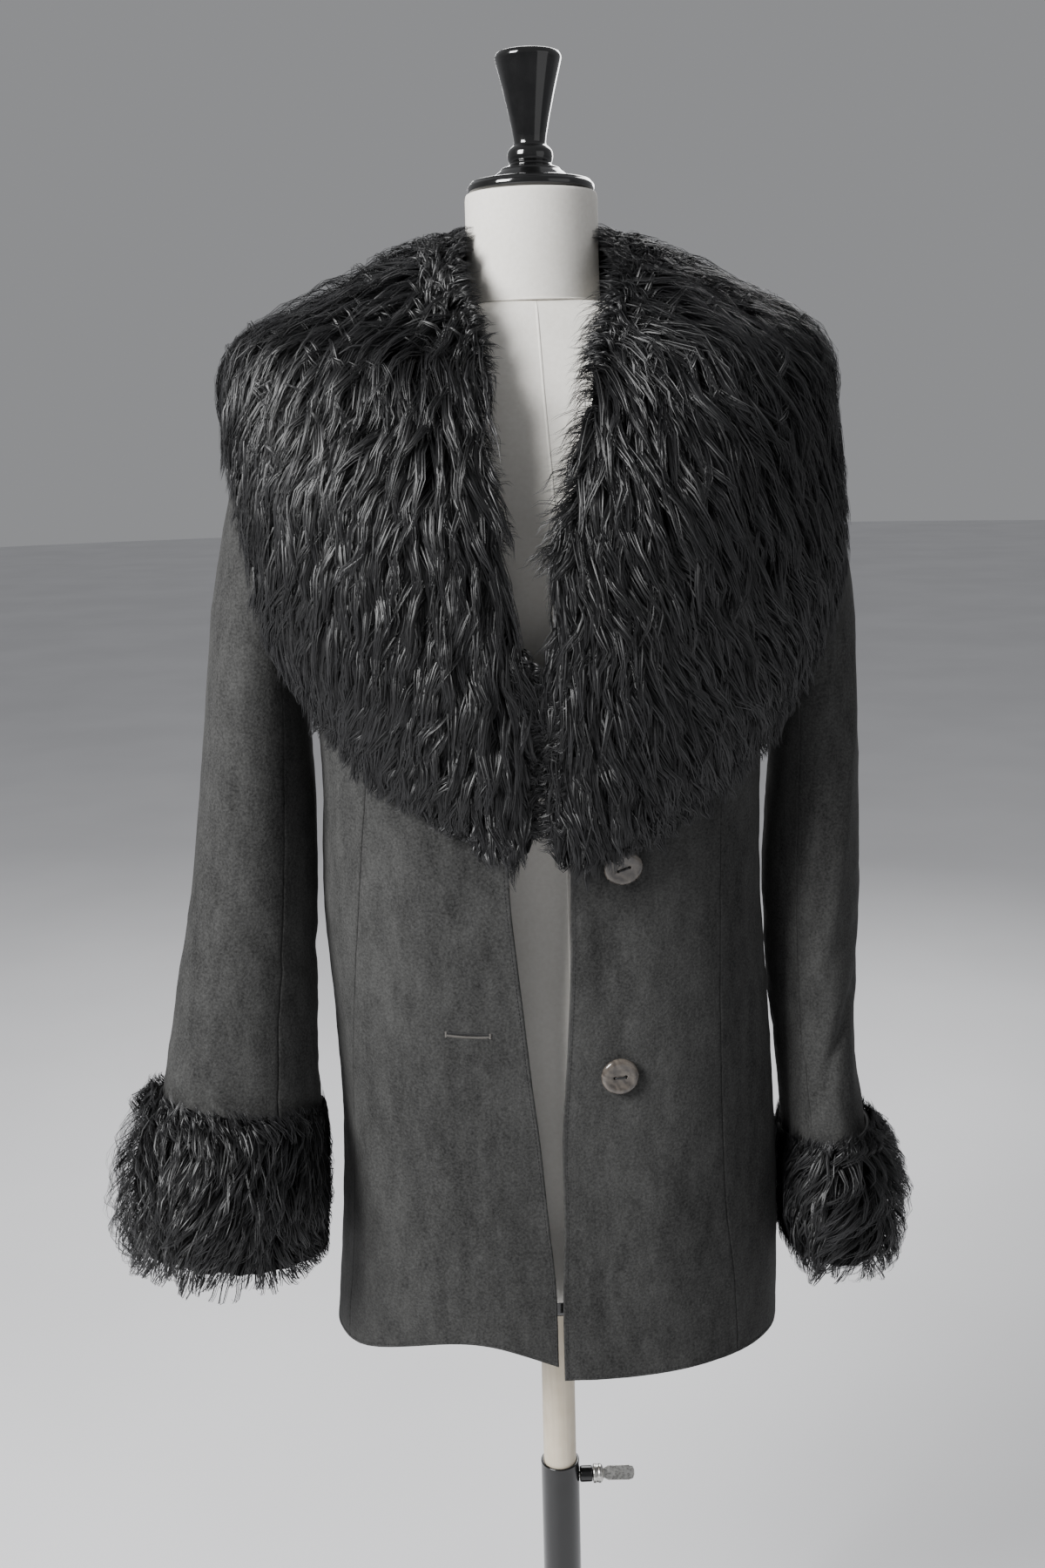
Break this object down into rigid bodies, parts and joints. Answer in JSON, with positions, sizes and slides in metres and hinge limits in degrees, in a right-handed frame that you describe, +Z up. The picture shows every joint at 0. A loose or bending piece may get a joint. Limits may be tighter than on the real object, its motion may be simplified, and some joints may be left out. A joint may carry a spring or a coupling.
{
  "type": "suede jacket with fur shawl collar and cuffs on a dress form with stand",
  "caption": "Suede jacket, open at the front, with a wide fur shawl collar and deep fur cuffs, worn by a limbless dress form on a height-adjustable pole stand.",
  "frame": {"origin": "centre of the stand's base, on the floor", "axes": "+Z up along the pole; -Y is the front of the jacket; the wearer's right side is at -X"},
  "size_m": [0.6412, 0.38, 1.5748],
  "materials": {
    "black_suede": "matte napped suede",
    "black_sheepskin_fur": "long wavy fur with a soft sheen",
    "polished_horn": "polished, marbled",
    "white_calico": "plain woven cotton, matte",
    "black_lacquer": "gloss black lacquer",
    "cream_painted_wood": "satin paint",
    "black_painted_steel": "satin black paint",
    "bright_steel": "bright plated"
  },
  "bodies": {
    "base": {"stand_base": "black_painted_steel", "stand_tube": "black_painted_steel", "clamp_boss": "black_painted_steel"},
    "form": {"pole": "cream_painted_wood", "form_base_plate": "black_lacquer", "form_torso": "white_calico", "form_neck": "white_calico", "neck_cap": "black_lacquer", "jacket_front_right": "black_suede", "jacket_side_front_right": "black_suede", "jacket_front_left": "black_suede", "jacket_side_front_left": "black_suede", "jacket_back_left": "black_suede", "jacket_back_right": "black_suede", "sleeve_right_upper": "black_suede", "sleeve_right_under": "black_suede", "sleeve_left_upper": "black_suede", "sleeve_left_under": "black_suede", "cuff_fur_right": "black_sheepskin_fur", "cuff_fur_left": "black_sheepskin_fur", "collar_fur_right": "black_sheepskin_fur", "collar_fur_left": "black_sheepskin_fur", "button_upper": "polished_horn", "button_lower": "polished_horn"},
    "clamp_screw": {"clamp_screw": "bright_steel"}
  },
  "joints": [
    {"name": "height_slide", "type": "slide", "parent": "base", "child": "form", "axis": [0, 0, 1], "range_m": [-0.12, 0.12]},
    {"name": "clamp_turn", "type": "hinge", "parent": "base", "child": "clamp_screw", "pos_m": [0, 0, 0.4095], "axis": [1, 0, 0], "range_deg": [0, 540]}
  ]
}
